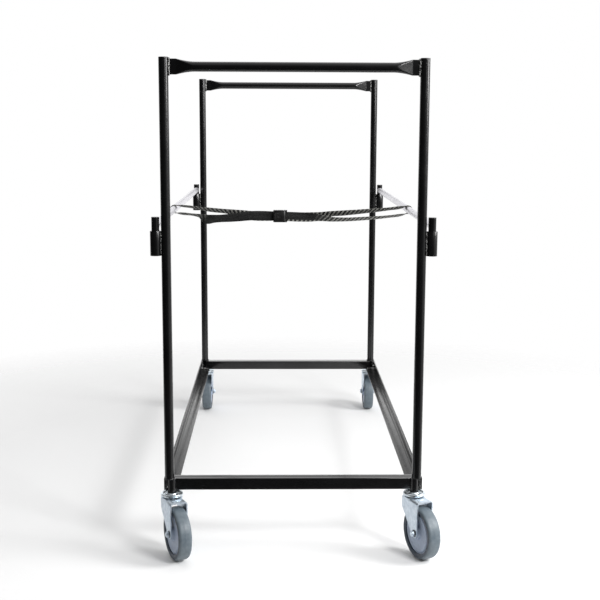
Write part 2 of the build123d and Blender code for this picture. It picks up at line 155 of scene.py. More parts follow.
class Bench:
    """Adds shader nodes to one material and wires them.

    Args:
        name: The material's name.
    """

    def __init__(self, name: str) -> None:
        self.material = bpy.data.materials.new(name)
        self.material.use_nodes = True
        self.tree = self.material.node_tree
        self.surface = self.tree.nodes["Principled BSDF"]

    def fix(self, **values: object) -> None:
        """Sets constant sockets of the surface shader.

        Args:
            values: Socket names, with underscores for spaces, and their values.
        """
        for name, value in values.items():
            self.surface.inputs[name.replace("_", " ")].default_value = value

    def node(
        self, kind: str, inputs: dict[str, object] | None = None, **options: object
    ) -> bpy.types.Node:
        """Adds a node.

        Args:
            kind: The node's type after "ShaderNode".
            inputs: Values for its sockets, or the sockets that feed them.
            options: Its own settings.

        Returns:
            The new node.
        """
        made = self.tree.nodes.new("ShaderNode" + kind)
        for name, value in options.items():
            setattr(made, name, value)
        for name, value in (inputs or {}).items():
            socket = made.inputs[name]
            if isinstance(value, bpy.types.NodeSocket):
                self.tree.links.new(value, socket)
            else:
                socket.default_value = value
        return made

    def feed(self, source: bpy.types.NodeSocket, name: str) -> None:
        """Wires a socket into the surface shader's socket of that name."""
        self.tree.links.new(source, self.surface.inputs[name])

    def place(self, stretch: tuple[float, float, float] = (1, 1, 1)) -> bpy.types.NodeSocket:
        """Object coordinates, scaled by a stretch on each axis."""
        source = self.node("TexCoord").outputs["Object"]
        return self.node("Mapping", {"Vector": source, "Scale": stretch}).outputs["Vector"]

    def noise(
        self, size: float, detail: float = 2.0, stretch: tuple[float, float, float] = (1, 1, 1)
    ) -> bpy.types.NodeSocket:
        """Cloudy noise.

        Args:
            size: The size of one cloud.
            detail: How many finer layers it has.
            stretch: The scale on each axis before the noise is read.

        Returns:
            The noise's value, from 0 to 1.
        """
        inputs = {"Vector": self.place(stretch), "Scale": 1 / size, "Detail": detail}
        return self.node("TexNoise", inputs).outputs["Fac"]

    def remap(
        self, value: bpy.types.NodeSocket, low: float, high: float,
        from_low: float = 0.3, from_high: float = 0.7,
    ) -> bpy.types.NodeSocket:
        """Spreads a value from one range onto another, held at its ends.

        Args:
            value: The value.
            low: What the range's start becomes.
            high: What its end becomes.
            from_low: The range's start.
            from_high: The range's end.

        Returns:
            The spread value.
        """
        inputs = {"Value": value, "To Min": low, "To Max": high}
        inputs |= {"From Min": from_low, "From Max": from_high}
        return self.node("MapRange", inputs).outputs["Result"]

    def math(self, operation: str, first: object, second: object = 0.0) -> bpy.types.NodeSocket:
        """One step of arithmetic on sockets or numbers.

        Args:
            operation: The Math node's operation.
            first: The first socket or number.
            second: The second.

        Returns:
            The result's socket.
        """
        made = self.node("Math", operation=operation)
        for socket, value in zip(made.inputs, (first, second)):
            if isinstance(value, bpy.types.NodeSocket):
                self.tree.links.new(value, socket)
            else:
                socket.default_value = value
        return made.outputs["Value"]

    def blend(
        self, share: bpy.types.NodeSocket, first: tuple, second: tuple
    ) -> bpy.types.NodeSocket:
        """Goes from the first colour to the second.

        Args:
            share: How far it goes, from 0 to 1.
            first: A colour, or the socket of one.
            second: A colour, or the socket of one.

        Returns:
            The mixed colour's socket.
        """
        made = self.node("Mix", data_type="RGBA")
        for name, value in (("A", first), ("B", second)):
            sockets = [s for s in made.inputs if s.name == name and s.type == "RGBA"]
            if isinstance(value, bpy.types.NodeSocket):
                self.tree.links.new(value, sockets[0])
            else:
                sockets[0].default_value = (*value, 1.0)
        self.tree.links.new(share, made.inputs[0])
        return [s for s in made.outputs if s.type == "RGBA"][0]

    def relief(self, height: bpy.types.NodeSocket, depth: float) -> None:
        """Turns a height into bumps of a depth in metres."""
        inputs = {"Height": height, "Distance": depth, "Strength": 1.0}
        self.feed(self.node("Bump", inputs).outputs["Normal"], "Normal")


@dataclass(frozen=True)
class Finish:
    """What every finish has.

    Args:
        name: The material's name.
        slot: A slot name kept with the finish; nothing reads it.
    """

    name: str
    slot: str

    def material(self) -> bpy.types.Material:
        """Builds the material."""
        raise NotImplementedError


@dataclass(frozen=True)
class PowderCoat(Finish):
    """Baked black powder coat: a fine orange peel with softer and glossier drifts.

    Args:
        deep: The colour between the dusty clouds.
        dusty: The colour where a little dust holds.
        roughness: The lowest and highest roughness.
        peel: The size of one bump of the peel.
        depth: The height of a bump.
    """

    deep: tuple[float, float, float] = (0.0030, 0.0030, 0.0032)
    dusty: tuple[float, float, float] = (0.0060, 0.0061, 0.0065)
    roughness: tuple[float, float] = (0.17, 0.23)
    peel: float = 1.6 * MM
    depth: float = 0.003 * MM

    def material(self) -> bpy.types.Material:
        """Noise drives the peel's bumps; wide clouds drive dust and gloss."""
        bench = Bench(self.name)
        drift = bench.noise(90 * MM, 3)
        bench.feed(bench.blend(bench.remap(drift, 0, 1), self.deep, self.dusty), "Base Color")
        bench.feed(bench.remap(bench.noise(25 * MM, 4), *self.roughness), "Roughness")
        bench.relief(bench.noise(self.peel, 2), self.depth)
        return bench.material


@dataclass(frozen=True)
class WeldCoat(Finish):
    """Powder coat over rough weld: glossy black drops with pale spots painted on as glints of the
    shiny weld.

    Args:
        black: The colour of the coat.
        bare: The colour of the pale spots, a painted highlight.
        spot: The size of one spot.
        depth: The height of the drops.
    """

    black: tuple[float, float, float] = (0.005, 0.005, 0.005)
    bare: tuple[float, float, float] = (0.42, 0.42, 0.41)
    spot: float = 2.6 * MM
    depth: float = 0.25 * MM

    def material(self) -> bpy.types.Material:
        """Noise above a threshold paints pale glints on the weld; finer noise gives the drops."""
        bench = Bench(self.name)
        # the pale spots are painted highlights: glints of the shiny weld painted into its colour
        spots = bench.remap(bench.noise(self.spot, 3), 0, 1, 0.47, 0.56)
        bench.feed(bench.blend(spots, self.black, self.bare), "Base Color")
        bench.feed(bench.remap(bench.noise(2 * MM, 3), 0.18, 0.34), "Roughness")
        bench.relief(bench.noise(1.2 * MM, 3), self.depth)
        return bench.material


@dataclass(frozen=True)
class Rubber(Finish):
    """Grey non-marking rubber whose tread is painted paler, partly for wear and floor dust and
    partly as a painted sheen.

    The piece's "tread" attribute is 1 on the tread and 0 on the side walls.

    Args:
        clean: The colour of the side walls.
        worn: The colour of the tread: worn rubber with a painted sheen.
        dust: The colour of the dustiest patches of the tread, with the same painted sheen.
        roughness: The lowest and highest roughness.
    """

    clean: tuple[float, float, float] = (0.046, 0.058, 0.082)
    worn: tuple[float, float, float] = (0.092, 0.119, 0.142)
    dust: tuple[float, float, float] = (0.135, 0.166, 0.188)
    roughness: tuple[float, float] = (0.36, 0.52)

    def material(self) -> bpy.types.Material:
        """The attribute goes from side wall to tread, and clouds put dust on the tread; the tread's
        paler colour is partly a painted sheen.
        """
        bench = Bench(self.name)
        tread = bench.node("Attribute", attribute_name="tread").outputs["Fac"]
        # tread colour: wear and floor dust, partly a painted sheen standing in for the light that
        # the tread catches
        tread_dust_and_sheen = bench.blend(bench.remap(bench.noise(11 * MM, 5), 0, 1), self.worn, self.dust)
        shade = bench.blend(bench.remap(bench.noise(5 * MM, 4), 0, 0.35), self.clean, self.worn)
        bench.feed(bench.blend(tread, shade, tread_dust_and_sheen), "Base Color")
        bench.feed(bench.remap(bench.noise(6 * MM, 3), *self.roughness), "Roughness")
        bench.relief(bench.noise(0.8 * MM, 2), 0.02 * MM)
        return bench.material


@dataclass(frozen=True)
class ZincPlate(Finish):
    """Bright blue-white zinc plating on pressed steel.

    Args:
        pale: The colour of the brightest clouds.
        cool: The colour of the darker clouds.
        roughness: The lowest and highest roughness.
    """

    pale: tuple[float, float, float] = (0.73, 0.80, 0.87)
    cool: tuple[float, float, float] = (0.53, 0.61, 0.69)
    roughness: tuple[float, float] = (0.22, 0.36)

    def material(self) -> bpy.types.Material:
        """Clouds of tint and gloss, and fine draw marks from the press."""
        bench = Bench(self.name)
        bench.fix(Metallic=1.0)
        clouds = bench.remap(bench.noise(9 * MM, 5), 0, 1)
        bench.feed(bench.blend(clouds, self.pale, self.cool), "Base Color")
        bench.feed(bench.remap(bench.noise(4 * MM, 4), *self.roughness), "Roughness")
        bench.relief(bench.noise(0.6 * MM, 2, (1, 1, 0.15)), 0.003 * MM)
        return bench.material


@dataclass(frozen=True)
class DrawnAluminium(Finish):
    """Satin anodised aluminium tube, with faint draw lines along its length.

    Args:
        bright: The colour on the crests of the lines.
        dull: The colour between them.
        roughness: The lowest and highest roughness.
    """

    bright: tuple[float, float, float] = (0.57, 0.565, 0.59)
    dull: tuple[float, float, float] = (0.48, 0.475, 0.51)
    roughness: tuple[float, float] = (0.34, 0.42)

    def material(self) -> bpy.types.Material:
        """Noise pulled out along the tube gives its lines, tint and gloss."""
        bench = Bench(self.name)
        bench.fix(Metallic=1.0)
        lines = bench.noise(1.1 * MM, 3, (1, 0.01, 1))
        bench.feed(bench.blend(bench.remap(lines, 0, 1), self.dull, self.bright), "Base Color")
        bench.feed(bench.remap(bench.noise(40 * MM, 4), *self.roughness), "Roughness")
        bench.relief(lines, 0.002 * MM)
        return bench.material


@dataclass(frozen=True)
class Moulded(Finish):
    """Moulded plastic or rubber: one colour with dust, and a fine grain.

    Args:
        colour: The clean colour.
        worn: The colour of scuffs and dust.
        roughness: The lowest and highest roughness.
        grain: The size of one grain.
        depth: The height of a grain.
    """

    colour: tuple[float, float, float] = (0.02, 0.02, 0.02)
    worn: tuple[float, float, float] = (0.03, 0.03, 0.03)
    roughness: tuple[float, float] = (0.4, 0.5)
    grain: float = 0.5 * MM
    depth: float = 0.01 * MM

    def material(self) -> bpy.types.Material:
        """Wide clouds of wear over a grain of small bumps."""
        bench = Bench(self.name)
        wear = bench.remap(bench.noise(7 * MM, 5), 0, 1)
        bench.feed(bench.blend(wear, self.colour, self.worn), "Base Color")
        bench.feed(bench.remap(bench.noise(5 * MM, 3), *self.roughness), "Roughness")
        bench.relief(bench.noise(self.grain, 2), self.depth)
        return bench.material


@dataclass(frozen=True)
class Webbing(Finish):
    """Black polyester herringbone webbing with pale slanting tracer threads.

    The piece's UV map holds metres along and across the strap, and its "tracer" attribute
    says how strongly the pale threads show.

    Args:
        yarn: The colour of the black yarn.
        sheen: The colour of the yarn where it crests.
        thread: The colour of the pale threads.
        row: The width of one row of herringbone.
        pitch: The distance between two slants of the weave.
        tracer_pitch: The distance between two pale threads.
    """

    yarn: tuple[float, float, float] = (0.0030, 0.0031, 0.0030)
    sheen: tuple[float, float, float] = (0.0130, 0.0135, 0.0128)
    thread: tuple[float, float, float] = (0.46, 0.46, 0.42)
    row: float = 6.25 * MM
    pitch: float = 2.4 * MM
    tracer_pitch: float = 11.5 * MM

    def material(self) -> bpy.types.Material:
        """Builds the weave and its pale threads.

        A slant is a sine wave of (along + folded across) / pitch, and a pale thread is the
        middle of a saw wave.

        Returns:
            The material.
        """
        bench = Bench(self.name)
        uv = bench.node("SeparateXYZ", {"Vector": bench.node("TexCoord").outputs["UV"]})
        along, across = uv.outputs["X"], uv.outputs["Y"]
        folded = bench.math("PINGPONG", across, self.row)
        slant = bench.math("DIVIDE", bench.math("ADD", along, folded), self.pitch)
        wave = bench.math("SINE", bench.math("MULTIPLY", slant, 2 * math.pi))
        ribs = bench.math("SINE", bench.math("MULTIPLY", across, 2 * math.pi / (0.8 * MM)))
        weave = bench.math("ADD", wave, bench.math("MULTIPLY", ribs, 0.5))
        cloth = bench.blend(bench.remap(weave, 0, 1, -0.6, 1.4), self.yarn, self.sheen)
        drift = bench.math("MULTIPLY", bench.noise(6 * MM, 2), 1.6 * MM)
        slope = bench.math("ADD", along, drift)
        slope = bench.math("ADD", slope, bench.math("MULTIPLY", across, 0.45))
        turn = bench.math("FRACT", bench.math("DIVIDE", slope, self.tracer_pitch))
        band = bench.math("ABSOLUTE", bench.math("SUBTRACT", turn, 0.5))
        line = bench.remap(band, 1, 0, 0.16, 0.26)
        strength = bench.node("Attribute", attribute_name="tracer").outputs["Fac"]
        speckle = bench.remap(bench.noise(1.1 * MM, 2), 0.35, 1.0)
        share = bench.math("MULTIPLY", bench.math("MULTIPLY", line, strength), speckle)
        bench.feed(bench.blend(share, cloth, self.thread), "Base Color")
        bench.fix(Roughness=0.62, Specular_IOR_Level=0.3)
        bench.relief(weave, 0.09 * MM)
        return bench.material


POWDER = PowderCoat("powder_black", "powder_black")
ZINC = ZincPlate("bright_zinc", "bright_zinc", roughness=(0.38, 0.50))
RACE = ZincPlate("race_zinc", "bright_zinc", (0.74, 0.80, 0.84), (0.50, 0.56, 0.60))
ALUMINIUM = DrawnAluminium("satin_aluminium", "satin_aluminium")
WELD = WeldCoat("weld_coat", "powder_black")
TYRE = Rubber("grey_rubber", "grey_tyre")
CORE = Moulded("grey_core", "grey_core", (0.390, 0.460, 0.585), (0.335, 0.395, 0.505), (0.30, 0.45))
CAP = Moulded(
    "black_cap", "black_plastic", (0.004, 0.004, 0.004), (0.008, 0.008, 0.009), (0.30, 0.42)
)
BUCKLE = Moulded(
    "buckle_black", "black_plastic", (0.005, 0.005, 0.005), (0.012, 0.012, 0.012), (0.28, 0.42)
)
STEEL = ZincPlate(
    "bearing_steel", "bearing_steel", (0.62, 0.62, 0.64), (0.48, 0.48, 0.50), (0.10, 0.18)
)
STRAP = Webbing("strap_webbing", "strap_webbing")


@cache
def made(finish: Finish) -> bpy.types.Material:
    """Builds a finish's material once and returns it."""
    return finish.material()


def dress_nodes(finish: Finish, *nodes: str) -> None:
    """Gives CAD nodes a finish.

    Args:
        finish: The finish.
        nodes: The nodes' names.
    """
    for node in nodes:
        for slot in frame["nodes"][node].material_slots:
            slot.material = made(finish)
        log.info("node %s wears %s", node, finish.name)


def fit(piece: bpy.types.Object, body: str | None, finish: Finish, *stands_for: str) -> None:
    """Dresses a new piece and fixes it to the stand.

    Args:
        piece: The piece, already in place.
        body: The CAD body that it rides on, or None to leave it unattached.
        finish: Its finish.
        stands_for: The CAD nodes that it stands for.
    """
    piece.data.materials.clear()
    piece.data.materials.append(made(finish))
    if body:
        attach(piece, body)
    if stands_for:
        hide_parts(*stands_for)
    log.info("piece %s: %d faces, %s", piece.name, len(piece.data.polygons), finish.name)


# Surfaces


def unit(vectors: Array) -> Array:
    """Vectors scaled to length one, along the last axis."""
    return vectors / np.linalg.norm(vectors, axis=-1, keepdims=True)


def ease(share: Array) -> Array:
    """A smooth step: 3 s squared minus 2 s cubed, with s held between 0 and 1.

    Args:
        share: The share s.

    Returns:
        The eased share.
    """
    held = np.clip(share, 0, 1)
    return held * held * (3 - 2 * held)


def grid_faces(rows: int, columns: int, wrap: bool) -> Array:
    """Quads between neighbouring points of a grid whose columns close on themselves.

    Args:
        rows: The number of rows of points.
        columns: The number of points in a row.
        wrap: Whether the last row joins the first.

    Returns:
        Four indices for each quad.
    """
    row = np.arange(rows if wrap else rows - 1)[:, None] * columns
    column = np.arange(columns)[None, :]
    after = (column + 1) % columns
    below = (row + columns) % (rows * columns)
    corners = (row + column, row + after, below + after, below + column)
    return np.stack(np.broadcast_arrays(*corners), axis=-1).reshape(-1, 4)


def signed_volume(points: Array, faces: Array) -> float:
    """The volume in a closed shell of quads, summed over the tetrahedra to the origin.

    Args:
        points: The shell's points.
        faces: Four indices for each quad.

    Returns:
        The volume, negative where the faces point inwards.
    """
    a, b, c, d = (points[faces[:, k]] for k in range(4))
    return float(np.sum(a * np.cross(b, c)) + np.sum(a * np.cross(c, d))) / 6


def shell(name: str, grid: Array, wrap: bool = False, crease: float = 40.0) -> bpy.types.Object:
    """A closed shell over a grid of points whose columns close on themselves.

    The rows' ends are closed by fans to their middle points, unless the rows wrap too.

    Args:
        name: The piece's name.
        grid: Points, as rows by columns by three.
        wrap: Whether the last row joins the first.
        crease: The angle in degrees past which an edge is sharp.

    Returns:
        The piece.
    """
    rows, columns = grid.shape[:2]
    points = grid.reshape(-1, 3)
    quads = grid_faces(rows, columns, wrap)
    faces = quads
    if not wrap:
        first, last = len(points), len(points) + 1
        points = np.vstack([points, grid[0].mean(0), grid[-1].mean(0)])
        here = np.arange(columns)
        after = (here + 1) % columns
        base = (rows - 1) * columns
        start = np.stack([here * 0 + first, after, here, here], axis=-1)
        end = np.stack([here * 0 + last, base + here, base + after, base + after], axis=-1)
        faces = np.vstack([quads, start, end])
    if signed_volume(points, faces) < 0:
        faces = faces[:, [0, 3, 2, 1]]
    polygons = [tuple(dict.fromkeys(face)) for face in faces.tolist()]
    mesh = bpy.data.meshes.new(name)
    mesh.from_pydata(points.tolist(), [], polygons)
    mesh.validate()
    mesh.shade_smooth()
    mesh.set_sharp_from_angle(angle=math.radians(crease))
    piece = bpy.data.objects.new(name, mesh)
    bpy.context.scene.collection.objects.link(piece)
    return piece


def join(name: str, pieces: list[bpy.types.Object]) -> bpy.types.Object:
    """Joins pieces of one finish.

    Args:
        name: The joined piece's name.
        pieces: The pieces; the first takes in the others.

    Returns:
        The joined piece.
    """
    with bpy.context.temp_override(
        active_object=pieces[0], selected_objects=pieces, selected_editable_objects=pieces
    ):
        bpy.ops.object.join()
    pieces[0].name = name
    return pieces[0]


def frames_along(axis: Array) -> tuple[Array, Array]:
    """Two unit vectors across an axis, so that the three are at right angles.

    Args:
        axis: The axis, of length one.

    Returns:
        The two vectors.
    """
    helper = UP if abs(axis[2]) < 0.9 else np.array((1.0, 0.0, 0.0))
    across = unit(np.cross(helper, axis))
    return across, np.cross(axis, across)


def lathe(
    name: str, profile: Array, origin: Array, axis: Array,
    segments: int = 96, ring: bool = False, crease: float = 30.0,
) -> bpy.types.Object:
    """A turned piece: each profile point goes round the axis at its radius.

    Args:
        name: The piece's name.
        profile: Rows of (place along the axis, radius).
        origin: A point on the axis from which places are measured.
        axis: The axis's direction.
        segments: The number of steps in a turn.
        ring: Whether the profile closes on itself, as on a ring.
        crease: The angle in degrees past which an edge is sharp.

    Returns:
        The piece.
    """
    axis = unit(np.asarray(axis, float))
    across, other = frames_along(axis)
    turn = np.linspace(0, 2 * math.pi, segments, endpoint=False)
    spoke = np.cos(turn)[:, None] * across + np.sin(turn)[:, None] * other
    along = profile[:, 0][:, None, None] * axis
    out = profile[:, 1][:, None, None] * spoke[None]
    return shell(name, np.asarray(origin) + along + out, wrap=ring, crease=crease)


def rounded(
    profile: list[tuple[float, float]], radius: float, steps: int = 4, closed: bool = False
) -> Array:
    """Rounds the corners of a profile with quadratic arcs.

    Each corner P between P minus a and P plus b becomes the curve
    (1-t)^2 (P - a) + 2 t (1-t) P + t^2 (P + b), where a and b are the cuts along its sides.

    Args:
        profile: The corner points.
        radius: The cut along each side, at most 45 hundredths of the side.
        steps: The number of steps in each arc.
        closed: Whether the last point joins the first.

    Returns:
        The rounded profile's points.
    """
    points = np.array(profile, float)
    before = np.roll(points, 1, axis=0) - points
    after = np.roll(points, -1, axis=0) - points
    lengths = [np.linalg.norm(v, axis=1, keepdims=True) for v in (before, after)]
    cuts = [v / n * np.minimum(radius, 0.45 * n) for v, n in zip((before, after), lengths)]
    t = np.linspace(0, 1, steps + 1)[None, :, None]
    start, end = (points + cuts[0])[:, None], (points + cuts[1])[:, None]
    arcs = (1 - t) ** 2 * start + 2 * t * (1 - t) * points[:, None] + t**2 * end
    if closed:
        return arcs.reshape(-1, 2)
    return np.vstack([points[:1], arcs[1:-1].reshape(-1, 2), points[-1:]])


def bead(
    name: str, path: Array, radius: float, closed: bool = False, pitch: float = 2.6 * MM
) -> bpy.types.Object:
    """A weld bead: a round rod whose radius swells and shrinks once for each drop of weld.

    With n drops over the whole length, the radius at a share s of it is
    r (1 + 0.16 sin(2 pi n s) + 0.07 sin(2 pi m s)), where m is n // 4 and at least 1. An open
    bead closes at its ends.

    Args:
        name: The piece's name.
        path: The points that it follows.
        radius: The rod's mean radius.
        closed: Whether the path closes on itself.
        pitch: The length of one drop.

    Returns:
        The piece.
    """
    steps = np.linalg.norm(np.diff(path, axis=0), axis=1)
    length = np.concatenate([[0], np.cumsum(steps)])
    count = max(12, int(length[-1] / (pitch / 7)))
    place = np.linspace(0, length[-1], count, endpoint=not closed)
    line = np.stack([np.interp(place, length, path[:, k]) for k in range(3)], axis=1)
    if closed:
        tangent = unit(np.roll(line, -1, axis=0) - np.roll(line, 1, axis=0))
    else:
        tangent = unit(np.gradient(line, axis=0))
    helper = np.where(np.abs(tangent[:, 2:]) < 0.95, UP, np.array((0.0, 1.0, 0.0)))
    across = unit(np.cross(helper, tangent))
    other = np.cross(tangent, across)
    drops = max(1, round(length[-1] / pitch))
    phase = 2 * math.pi * place / length[-1]
    swell = radius * (1 + 0.16 * np.sin(drops * phase) + 0.07 * np.sin(max(1, drops // 4) * phase))
    if not closed:
        swell = swell * np.sqrt(np.clip(1 - (np.abs(2 * place / length[-1] - 1)) ** 8, 0.02, 1))
    turn = np.linspace(0, 2 * math.pi, 12, endpoint=False)
    ring = np.cos(turn)[None, :, None] * across[:, None]
    ring = ring + np.sin(turn)[None, :, None] * other[:, None]
    return shell(name, line[:, None] + swell[:, None, None] * ring, wrap=closed, crease=60)


def eased_copy(node: str, name: str, width: float) -> bpy.types.Object:
    """A copy of a CAD node whose sharp edges are eased with a small bevel.

    Args:
        node: The node's name.
        name: The new piece's name.
        width: The bevel's width.

    Returns:
        The piece.
    """
    mesh = frame["nodes"][node].data.copy()
    mesh.name = name
    work = bmesh.new()
    work.from_mesh(mesh)
    bmesh.ops.remove_doubles(work, verts=work.verts, dist=1e-6)
    flat = math.radians(0.3)
    bmesh.ops.dissolve_limit(work, angle_limit=flat, verts=work.verts, edges=work.edges)
    work.to_mesh(mesh)
    work.free()
    if "custom_normal" in mesh.attributes:
        mesh.attributes.remove(mesh.attributes["custom_normal"])
    mesh.shade_smooth()
    piece = bpy.data.objects.new(name, mesh)
    bpy.context.scene.collection.objects.link(piece)
    bevel = piece.modifiers.new("eased edges", "BEVEL")
    bevel.width = width
    bevel.segments = 2
    bevel.limit_method = "ANGLE"
    bevel.angle_limit = SHARP
    bevel.use_clamp_overlap = True
    evaluated = piece.evaluated_get(bpy.context.evaluated_depsgraph_get())
    finished = bpy.data.meshes.new_from_object(evaluated)
    piece.modifiers.clear()
    piece.data = finished
    finished.shade_smooth()
    finished.set_sharp_from_angle(angle=SHARP)
    return piece


# The welded frame


@dataclass
class WeldedFrame:
    """Posts, crossbars, base rails, side angles, bosses and sockets, with their welds.

    Args:
        flat_thickness: Thickness of a crossbar's pressed end.
        flat_height: Height of a crossbar's pressed end.
        flat_length: Length of the fully pressed stretch.
        taper: Length over which the tube goes from round to pressed.
        bar_radius: A crossbar's radius where it is round.
        bead_radius: Radius of the weld beads on the crossbars.
        inner_seam: Place from a boss's axis and radius of the upright weld nearer the middle.
        outer_seam: The same for the weld further out.
        edge: Width of the eased edges of rails and angles.
        body: The CAD body that the frame is.
    """

    flat_thickness: float = 6 * MM
    flat_height: float = 35 * MM
    flat_length: float = 17 * MM
    taper: float = 41 * MM
    bar_radius: float = 11 * MM
    bead_radius: float = 2.6 * MM
    inner_seam: tuple[float, float] = (-9.0 * MM, 1.25 * MM)
    outer_seam: tuple[float, float] = (12.4 * MM, 2.6 * MM)
    edge: float = 0.5 * MM
    body: str = "frame"
    post_radius: float = field(init=False)
    post_x: float = field(init=False)
    post_y: float = field(init=False)
    rail_low: float = field(init=False)
    rail_high: float = field(init=False)

    def __post_init__(self) -> None:
        post = extent("post_front_right")
        rail = extent("base_rail_front")
        self.post_radius = post.size[0] / 2
        self.post_x = post.centre[0]
        self.post_y = -post.centre[1]
        self.rail_low = rail.low[2]
        self.rail_high = rail.high[2]

    def build(self) -> None:
        """Builds the crossbars and the welds, and dresses everything."""
        for place, end in (("front", -1), ("rear", 1)):
            self.crossbar(place, end * self.post_y)
            self.rail(place)
        for side in Side:
            self.angle(side)
        for corner in Corner:
            self.corner_welds(corner)
            self.socket_welds(corner)
        self.dress()

    def pressed_section(self, x: Array, turn: Array) -> tuple[Array, Array]:
        """Half depth and height of a crossbar round its section.

        An ellipse grows taller as the press closes, and two planes clip its depth; a soft
        minimum, -log(e^(-kp) + e^(-kq)) / k, rounds the crease between them.

        Args:
            x: Distance from the bar's middle, for each row.
            turn: Angle round the section, for each column.

        Returns:
            Depth and height of each point from the bar's axis.
        """
        start = self.post_x - self.post_radius - self.flat_length - self.taper
        share = np.clip((x - start) / self.taper, 0, 1)
        height = self.bar_radius + share**1.7 * (self.flat_height / 2 - self.bar_radius)
        open_depth = self.bar_radius + 1.5 * MM
        plane = open_depth - share * (open_depth - self.flat_thickness / 2)
        round_depth = self.bar_radius * np.abs(np.cos(turn))
        sharpness = 1 / (0.35 * MM)
        near_plane = np.exp(-sharpness * plane[:, None])
        near_round = np.exp(-sharpness * round_depth[None])
        clipped = -np.log(near_plane + near_round) / sharpness
        loose = np.clip((share - 0.02) / 0.1, 0, 1)[:, None]
        depth = np.maximum(round_depth[None] * (1 - loose) + clipped * loose, 0)
        return depth * np.sign(np.cos(turn))[None], height[:, None] * np.sin(turn)[None]

    def crossbar(self, place: str, y: float) -> None:
        """One pressed-end tube and the weld round each of its ends.

        Args:
            place: "front" or "rear".
            y: The bar's place from front to back.
        """
        node = f"crossbar_{place}"
        height = extent(node).centre[2]
        reach = self.post_x - self.post_radius * 0.6
        start = self.post_x - self.post_radius - self.flat_length - self.taper
        half = np.concatenate([np.linspace(0, start, 8)[:-1], np.linspace(start, reach, 60)])
        x = np.concatenate([-half[:0:-1], half])
        turn = np.linspace(0, 2 * math.pi, 72, endpoint=False) + math.pi / 72
        depth, rise = self.pressed_section(np.abs(x), turn)
        along_bar = np.broadcast_to(x[:, None], depth.shape)
        grid = np.stack([along_bar, y + depth, height + rise], axis=-1)
        bar = shell(f"{node}_pressed", grid, crease=50)
        fit(bar, self.body, POWDER, node)
        for side in Side:
            loop = np.linspace(0, 2 * math.pi, 121)
            across = (self.flat_thickness / 2 + 0.5 * MM) * np.cos(loop)
            away = np.sqrt(self.post_radius**2 - across**2) + self.bead_radius / 2
            path = np.stack(
                [
                    side.value * (self.post_x - away),
                    y + across,
                    height + self.flat_height / 2 * np.sin(loop),
                ],
                axis=-1,
            )
            name = f"weld_{node}_{side.label}"
            weld = bead(name, path, self.bead_radius, closed=True, pitch=4.2 * MM)
            fit(weld, self.body, WELD)

    def rail(self, place: str) -> None:
        """A base rail with eased edges.

        Args:
            place: "front" or "rear".
        """
        node = f"base_rail_{place}"
        fit(eased_copy(node, f"{node}_eased", self.edge), self.body, POWDER, node)

    def angle(self, side: Side) -> None:
        """A side angle with eased edges, and the welds of its ledge to the base rails.

        Args:
            side: The stand's side.
        """
        node = f"side_angle_{side.label}"
        fit(eased_copy(node, f"{node}_eased", self.edge), self.body, POWDER, node)
        box = extent(node)
        inner = abs(box.low[0] if side is Side.RIGHT else box.high[0])
        outer = abs(box.high[0] if side is Side.RIGHT else box.low[0]) - 4 * MM
        ledge_top = box.low[2] + 3 * MM
        face = abs(extent("base_rail_front").high[1])
        for end in (-1, 1):
            across = np.linspace(inner + 1 * MM, outer, 30)
            wobble = 0.25 * MM * np.sin(across / (1.7 * MM))
            face_line = end * (face + 0 * across)
            path = np.stack([side.value * across, face_line, ledge_top + wobble], axis=-1)
            place = "front" if end < 0 else "rear"
            weld = bead(f"weld_ledge_{side.label}_{place}", path, 1.6 * MM)
            fit(weld, self.body, WELD)

    def corner_welds(self, corner: Corner) -> None:
        """Welds where a post, its boss, the base rail and the side angle meet.

        Args:
            corner: The corner.
        """
        x, y = corner.side * self.post_x, corner.end * self.post_y
        loop = np.linspace(0, 2 * math.pi, 61)
        foot = np.stack(
            [
                x + (self.post_radius + 0.2 * MM) * np.cos(loop),
                y + (self.post_radius + 0.2 * MM) * np.sin(loop),
                self.rail_high + 0.4 * MM * np.sin(5 * loop),
            ],
            axis=-1,
        )
        boss_x = corner.side * abs(extent("caster_bosses").high[0] - 10 * MM)
        rise = np.linspace(self.rail_low - 3 * MM, self.rail_high - 1 * MM, 30)
        face_y = corner.end * (abs(extent("base_rail_front").low[1]) - 0.8 * MM)
        seams = [bead("foot", foot, 1.3 * MM, closed=True, pitch=3.4 * MM)]
        for reach, radius in (self.inner_seam, self.outer_seam):
            seam_x = boss_x + corner.side * reach + 0.25 * MM * np.sin(rise / (1.9 * MM))
            path = np.stack([seam_x, face_y + 0 * rise, rise], axis=-1)
            seams.append(bead("seam", path, radius, pitch=3.4 * MM))
        weld = join(f"weld_corner_{corner.label}", seams)
        fit(weld, self.body, POWDER)

    def socket_welds(self, corner: Corner) -> None:
        """Two upright welds in the notches between a socket and its post, and their end blobs.

        Args:
            corner: The corner.
        """
        socket = extent(f"rail_socket_{corner.label}")
        seam_x = corner.side * (self.post_x + self.post_radius)
        rise = np.linspace(socket.low[2] + 3 * MM, socket.high[2] - 3 * MM, 60)
        seams = []
        for way in (-1, 1):
            out = corner.end * self.post_y + way * (4.1 * MM + 0.3 * MM * np.sin(rise / (2.3 * MM)))
            path = np.stack([seam_x + 0 * rise, out, rise], axis=-1)
            seams.append(bead("seam", path, 1.7 * MM, pitch=3.8 * MM))
        for height in (rise[0], rise[-1]):
            out = np.linspace(-4 * MM, 4 * MM, 20)
            blob_y = corner.end * self.post_y + out
            path = np.stack([seam_x + 0 * out, blob_y, height + 0 * out], axis=-1)
            seams.append(bead("blob", path, 2.2 * MM, pitch=3 * MM))
        weld = join(f"weld_socket_{corner.label}", seams)
        fit(weld, self.body, WELD)

